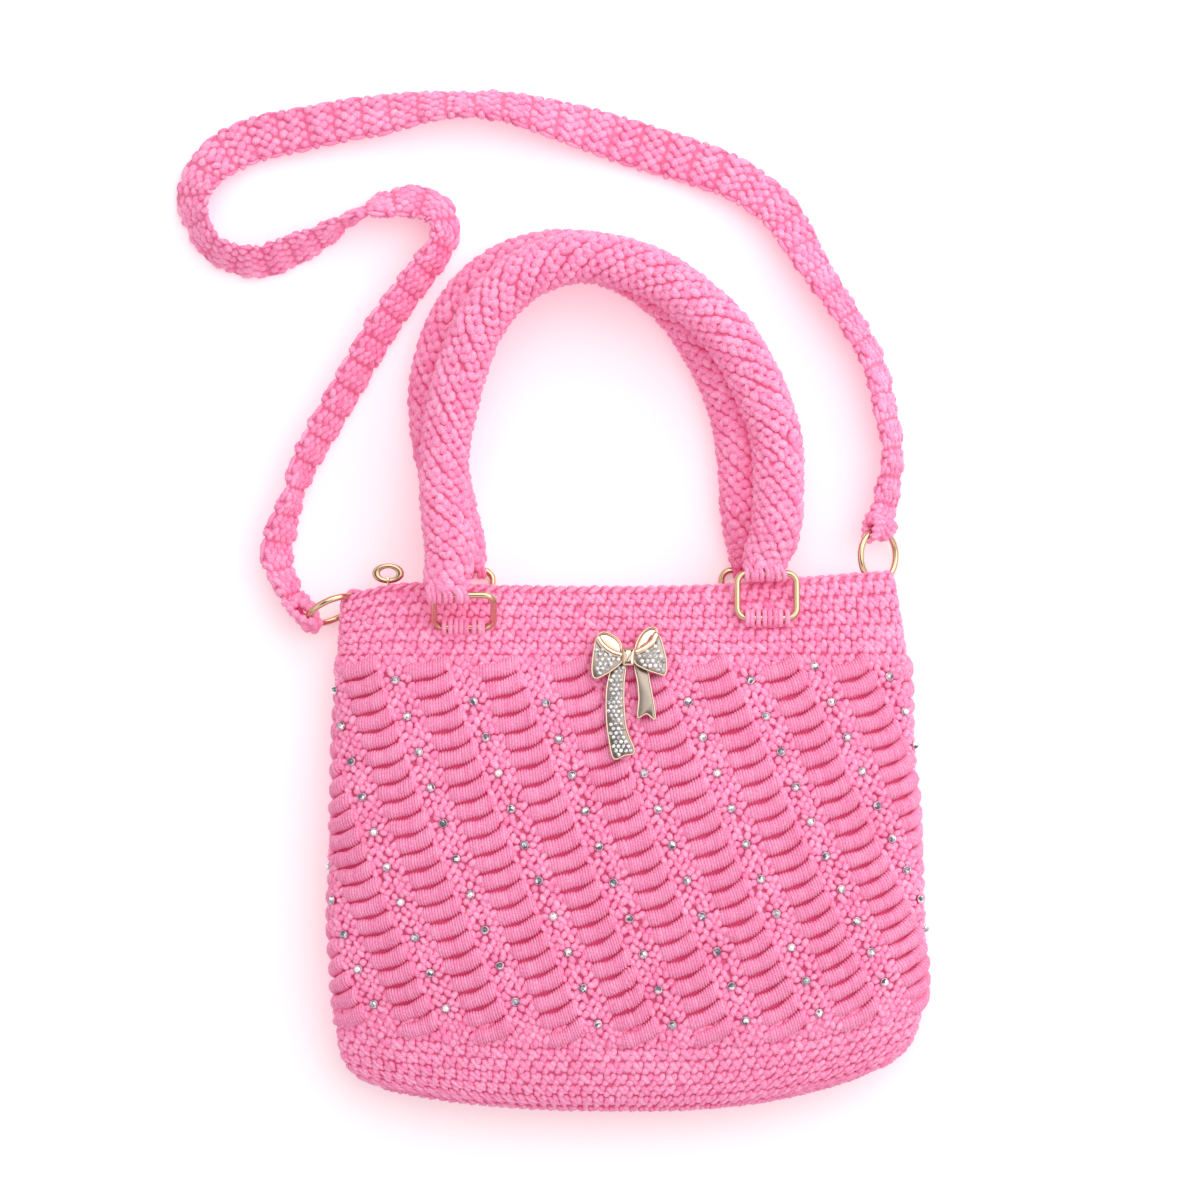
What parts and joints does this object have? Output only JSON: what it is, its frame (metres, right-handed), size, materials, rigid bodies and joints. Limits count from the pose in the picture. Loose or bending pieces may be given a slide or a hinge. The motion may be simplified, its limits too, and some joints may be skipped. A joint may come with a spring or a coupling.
{
  "type": "crocheted handbag",
  "caption": "Lying crocheted handbag with slanted coiled ribs, crystals, padded ring handles, a flat shoulder strap, a zip and a bow charm.",
  "frame": {"origin": "middle of the flattened back, on the surface that the bag lies on", "axes": "+X to the right as seen from the front, +Y from the base to the handles, +Z out of the front"},
  "size_m": [0.3709, 0.5032, 0.0533],
  "materials": {
    "yarn": "soft crocheted yarn, fine twist, deep pink between the stitches",
    "zip_tape": "woven tape with closed teeth",
    "gold_metal": "polished pale gold plate",
    "charm_metal": "polished pale gold with silver paving",
    "crystal": "silver-backed faceted crystal"
  },
  "bodies": {
    "root": {"bag_body": "yarn", "handle_front": "yarn", "handle_back": "yarn", "strap": "yarn", "handle_ring_front_left": "gold_metal", "handle_ring_front_right": "gold_metal", "handle_ring_back_left": "gold_metal", "handle_ring_back_right": "gold_metal", "side_ring_left": "gold_metal", "side_ring_right": "gold_metal", "zip_slider": "gold_metal", "zip_link": "gold_metal", "zip_pull": "gold_metal", "zip_tape": "zip_tape", "bow_charm": "charm_metal", "crystal_string_01": "crystal", "crystal_string_02": "crystal", "crystal_string_03": "crystal", "crystal_string_04": "crystal", "crystal_string_05": "crystal", "crystal_string_06": "crystal", "crystal_string_07": "crystal", "crystal_string_08": "crystal", "crystal_string_09": "crystal", "crystal_string_10": "crystal"}
  },
  "joints": []
}
